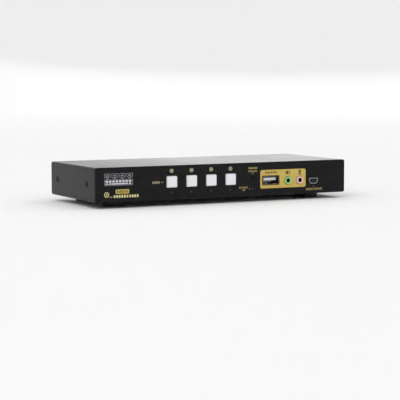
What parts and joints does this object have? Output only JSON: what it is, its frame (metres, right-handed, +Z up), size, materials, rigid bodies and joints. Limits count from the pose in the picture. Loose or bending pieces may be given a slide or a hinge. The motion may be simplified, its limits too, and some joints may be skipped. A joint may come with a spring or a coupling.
{
  "type": "kvm switch",
  "caption": "Desktop KVM switch in a flat folded black steel case with square select buttons, video, data, audio and power sockets, a rocker switch and rubber feet.",
  "frame": {"origin": "middle of the overall box, on the surface that the feet stand on", "axes": "+X to the right as seen from the front, -Y out of the front panel with the select buttons, +Z up"},
  "size_m": [0.2, 0.0812, 0.0282],
  "materials": {
    "case_coat": "fine-textured black powder coat on 0.8 mm steel sheet, with printed gold and pale marks",
    "foot_rubber": "matt black rubber",
    "black_screw": "blackened steel",
    "zinc_screw": "zinc-plated steel",
    "circuit_board": "green solder mask on glass-fibre board",
    "chip_resin": "matt black moulding resin",
    "header_plastic": "black header plastic with plated pins",
    "capacitor_can": "aluminium can in a dark sleeve",
    "lead_jacket": "black flexible jacket",
    "switch_plastic": "black moulded plastic",
    "lamp_lens": "clear moulded lens",
    "socket_metal": "nickel-plated drawn steel",
    "white_insulator": "white moulded plastic",
    "black_insulator": "black moulded plastic",
    "green_jack": "light green moulded plastic",
    "pink_jack": "light pink moulded plastic",
    "inlet_plastic": "black moulded plastic",
    "contact_metal": "nickel-plated brass",
    "rocker_frame": "black moulded plastic",
    "button_cap": "satin white moulded plastic",
    "black_cap": "black moulded plastic",
    "rocker_plastic": "satin black moulded plastic with white marks"
  },
  "bodies": {
    "case": {"base_tray": "case_coat", "top_cover": "case_coat", "foot_front_left": "foot_rubber", "foot_front_right": "foot_rubber", "foot_rear_left": "foot_rubber", "foot_rear_right": "foot_rubber", "cover_screw_front_left": "black_screw", "cover_screw_front_right": "black_screw", "cover_screw_rear_left": "black_screw", "cover_screw_rear_right": "black_screw", "main_board": "circuit_board", "front_board": "circuit_board", "board_screw_1": "zinc_screw", "board_screw_2": "zinc_screw", "board_screw_3": "zinc_screw", "board_screw_4": "zinc_screw", "main_chip": "chip_resin", "port_chip": "chip_resin", "board_header": "header_plastic", "power_capacitor": "capacitor_can", "power_lead": "lead_jacket", "select_switch_1": "switch_plastic", "select_switch_2": "switch_plastic", "select_switch_3": "switch_plastic", "select_switch_4": "switch_plastic", "scan_switch": "switch_plastic", "port_led_1": "lamp_lens", "port_led_2": "lamp_lens", "port_led_3": "lamp_lens", "port_led_4": "lamp_lens", "scan_led": "lamp_lens", "front_port_shell": "socket_metal", "front_port_core": "white_insulator", "service_port_shell": "socket_metal", "service_port_core": "black_insulator", "speaker_jack": "green_jack", "microphone_jack": "pink_jack", "mouse_port_shell": "socket_metal", "mouse_port_core": "white_insulator", "keyboard_port_shell": "socket_metal", "keyboard_port_core": "white_insulator", "video_out_shell": "socket_metal", "video_out_core": "black_insulator", "video_in_1_shell": "socket_metal", "video_in_1_core": "black_insulator", "video_in_2_shell": "socket_metal", "video_in_2_core": "black_insulator", "video_in_3_shell": "socket_metal", "video_in_3_core": "black_insulator", "video_in_4_shell": "socket_metal", "video_in_4_core": "black_insulator", "power_inlet": "inlet_plastic", "power_pin": "contact_metal", "rocker_housing": "rocker_frame"},
    "select_button_1": {"select_button_1": "button_cap"},
    "select_button_2": {"select_button_2": "button_cap"},
    "select_button_3": {"select_button_3": "button_cap"},
    "select_button_4": {"select_button_4": "button_cap"},
    "scan_button": {"scan_button": "black_cap"},
    "power_rocker": {"power_rocker": "rocker_plastic"}
  },
  "joints": [
    {"name": "select_press_1", "type": "slide", "parent": "case", "child": "select_button_1", "axis": [0, 1, 0], "range_m": [0, 0.0008], "stiffness_N_per_m": 600, "springref_m": -0.001},
    {"name": "select_press_2", "type": "slide", "parent": "case", "child": "select_button_2", "axis": [0, 1, 0], "range_m": [0, 0.0008], "stiffness_N_per_m": 600, "springref_m": -0.001},
    {"name": "select_press_3", "type": "slide", "parent": "case", "child": "select_button_3", "axis": [0, 1, 0], "range_m": [0, 0.0008], "stiffness_N_per_m": 600, "springref_m": -0.001},
    {"name": "select_press_4", "type": "slide", "parent": "case", "child": "select_button_4", "axis": [0, 1, 0], "range_m": [0, 0.0008], "stiffness_N_per_m": 600, "springref_m": -0.001},
    {"name": "scan_press", "type": "slide", "parent": "case", "child": "scan_button", "axis": [0, 1, 0], "range_m": [0, 0.0008], "stiffness_N_per_m": 600, "springref_m": -0.001},
    {"name": "power_rock", "type": "hinge", "parent": "case", "child": "power_rocker", "pos_m": [0.0862, 0.0358, 0.0158], "axis": [1, 0, 0], "range_deg": [-24, 0]}
  ]
}
